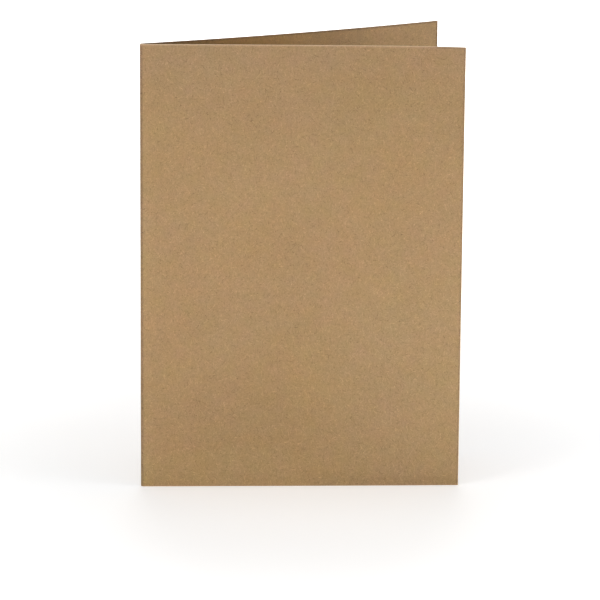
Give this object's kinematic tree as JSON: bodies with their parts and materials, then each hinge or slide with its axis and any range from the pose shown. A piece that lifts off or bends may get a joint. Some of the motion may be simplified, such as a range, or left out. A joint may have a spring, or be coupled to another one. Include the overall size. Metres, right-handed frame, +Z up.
{
  "type": "folded greeting card",
  "caption": "Blank kraft greeting card: one scored and folded sheet that stands upright on its cut bottom edges like a narrow V.",
  "frame": {"origin": "middle of the card's footprint, at the bottom edges that it stands on", "axes": "+Z up along the fold; +X from the fold towards the free edges, along the front panel; +Y from the front panel towards the back panel, so the front panel faces -Y"},
  "size_m": [0.105, 0.0356, 0.15],
  "materials": {
    "kraft_card": "matte, uncoated"
  },
  "bodies": {
    "root": {"folded_card": "kraft_card"}
  },
  "joints": []
}
